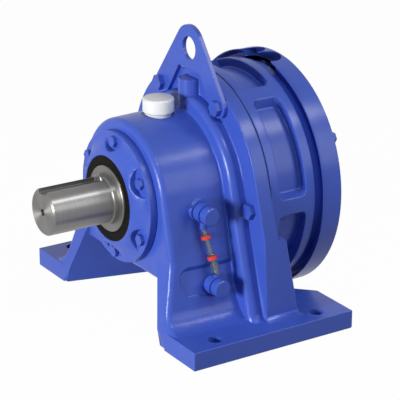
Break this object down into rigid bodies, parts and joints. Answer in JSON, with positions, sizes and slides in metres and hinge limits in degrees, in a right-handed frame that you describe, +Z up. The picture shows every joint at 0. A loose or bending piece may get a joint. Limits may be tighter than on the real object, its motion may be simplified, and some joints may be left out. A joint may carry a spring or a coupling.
{
  "type": "cycloidal gear motor",
  "caption": "Foot-mounted cycloidal gear unit with a keyed solid output shaft, a lifting plate, an oil gauge and a flange for an electric motor.",
  "frame": {"origin": "on the base plane, at the centre of the four foot bolt holes", "axes": "+Z up; the output shaft points along -Y and the motor flange faces +Y; the oil gauge is on the +X side"},
  "size_m": [0.397, 0.3462, 0.367],
  "materials": {
    "blue_paint": "blue gloss enamel over cast iron",
    "ground_steel": "ground",
    "bearing_steel": "hardened and ground",
    "zinc_steel": "zinc plated",
    "seal_rubber": "moulded nitrile",
    "gasket_paper": "fibre sheet",
    "breather_plastic": "off-white moulded",
    "gauge_glass": "clear tube",
    "red_plastic": "moulded",
    "clear_sleeve": "translucent",
    "copper_washer": "copper sealing ring"
  },
  "bodies": {
    "housing": {"casing": "blue_paint", "front_cover": "blue_paint", "cover_gasket": "gasket_paper", "cover_bolts": "blue_paint", "output_oil_seal": "seal_rubber", "front_bearing_outer_race": "bearing_steel", "rear_bearing_outer_race": "bearing_steel", "casing_gasket": "gasket_paper", "ring_gear_housing": "blue_paint", "ring_pins": "bearing_steel", "ring_rollers": "bearing_steel", "motor_gasket": "gasket_paper", "motor_flange": "blue_paint", "drive_bearing_outer_race": "bearing_steel", "input_oil_seal": "seal_rubber", "rim_screws": "blue_paint", "flange_bolts": "blue_paint", "lifting_plate": "blue_paint", "breather_plug": "breather_plastic", "breather_cap": "breather_plastic", "gauge_upper_eye": "blue_paint", "gauge_lower_eye": "blue_paint", "gauge_bolts": "blue_paint", "gauge_washers": "copper_washer", "gauge_tube": "gauge_glass", "gauge_level_rings": "red_plastic", "gauge_end_sleeve": "clear_sleeve", "drain_plug": "zinc_steel", "drain_washer": "copper_washer"},
    "output": {"output_shaft": "ground_steel", "shaft_collar": "ground_steel", "output_pins": "bearing_steel", "output_rollers": "bearing_steel", "disc_spacer": "bearing_steel", "front_bearing_inner_race": "bearing_steel", "rear_bearing_inner_race": "bearing_steel", "pilot_bearing_outer_race": "bearing_steel"},
    "input": {"input_shaft": "bearing_steel", "crank_sleeve": "bearing_steel", "crank_key": "bearing_steel", "crank_retaining_ring": "bearing_steel", "pilot_bearing_inner_race": "bearing_steel", "drive_bearing_inner_race": "bearing_steel"},
    "front_disc": {"cycloid_disc_front": "bearing_steel"},
    "rear_disc": {"cycloid_disc_rear": "bearing_steel"},
    "front_crank_rollers": {"crank_rollers_front": "bearing_steel"},
    "rear_crank_rollers": {"crank_rollers_rear": "bearing_steel"},
    "front_balls": {"front_bearing_balls": "bearing_steel"},
    "rear_balls": {"rear_bearing_balls": "bearing_steel"},
    "pilot_balls": {"pilot_bearing_balls": "bearing_steel"},
    "drive_balls": {"drive_bearing_balls": "bearing_steel"}
  },
  "joints": [
    {"name": "output_spin", "type": "hinge", "parent": "housing", "child": "output", "pos_m": [0, -0.1, 0.16], "axis": [0, 1, 0], "continuous": true},
    {"name": "input_spin", "type": "hinge", "parent": "housing", "child": "input", "pos_m": [0, 0.1, 0.16], "axis": [0, 1, 0], "continuous": true},
    {"name": "front_disc_spin", "type": "hinge", "parent": "input", "child": "front_disc", "pos_m": [0.0055, 0.04745, 0.16], "axis": [0, 1, 0], "continuous": true},
    {"name": "rear_disc_spin", "type": "hinge", "parent": "input", "child": "rear_disc", "pos_m": [-0.0055, 0.07095, 0.16], "axis": [0, 1, 0], "continuous": true},
    {"name": "front_crank_roller_orbit", "type": "hinge", "parent": "input", "child": "front_crank_rollers", "pos_m": [0.0055, 0.04745, 0.16], "axis": [0, 1, 0], "continuous": true},
    {"name": "rear_crank_roller_orbit", "type": "hinge", "parent": "input", "child": "rear_crank_rollers", "pos_m": [-0.0055, 0.07095, 0.16], "axis": [0, 1, 0], "continuous": true},
    {"name": "front_ball_orbit", "type": "hinge", "parent": "housing", "child": "front_balls", "pos_m": [0, -0.0855, 0.16], "axis": [0, 1, 0], "continuous": true},
    {"name": "rear_ball_orbit", "type": "hinge", "parent": "housing", "child": "rear_balls", "pos_m": [0, -0.011, 0.16], "axis": [0, 1, 0], "continuous": true},
    {"name": "pilot_ball_orbit", "type": "hinge", "parent": "housing", "child": "pilot_balls", "pos_m": [0, 0.0215, 0.16], "axis": [0, 1, 0], "continuous": true},
    {"name": "drive_ball_orbit", "type": "hinge", "parent": "housing", "child": "drive_balls", "pos_m": [0, 0.1037, 0.16], "axis": [0, 1, 0], "continuous": true}
  ],
  "couplings": [
    {"joint": "input_spin", "follows": "output_spin", "ratio": -11},
    {"joint": "front_disc_spin", "follows": "output_spin", "ratio": 12},
    {"joint": "rear_disc_spin", "follows": "output_spin", "ratio": 12},
    {"joint": "front_crank_roller_orbit", "follows": "output_spin", "ratio": 6.7895},
    {"joint": "rear_crank_roller_orbit", "follows": "output_spin", "ratio": 6.7895},
    {"joint": "front_ball_orbit", "follows": "output_spin", "ratio": 0.41081},
    {"joint": "rear_ball_orbit", "follows": "output_spin", "ratio": 0.41818},
    {"joint": "pilot_ball_orbit", "follows": "output_spin", "ratio": -3.7551},
    {"joint": "drive_ball_orbit", "follows": "output_spin", "ratio": -4.5419}
  ]
}
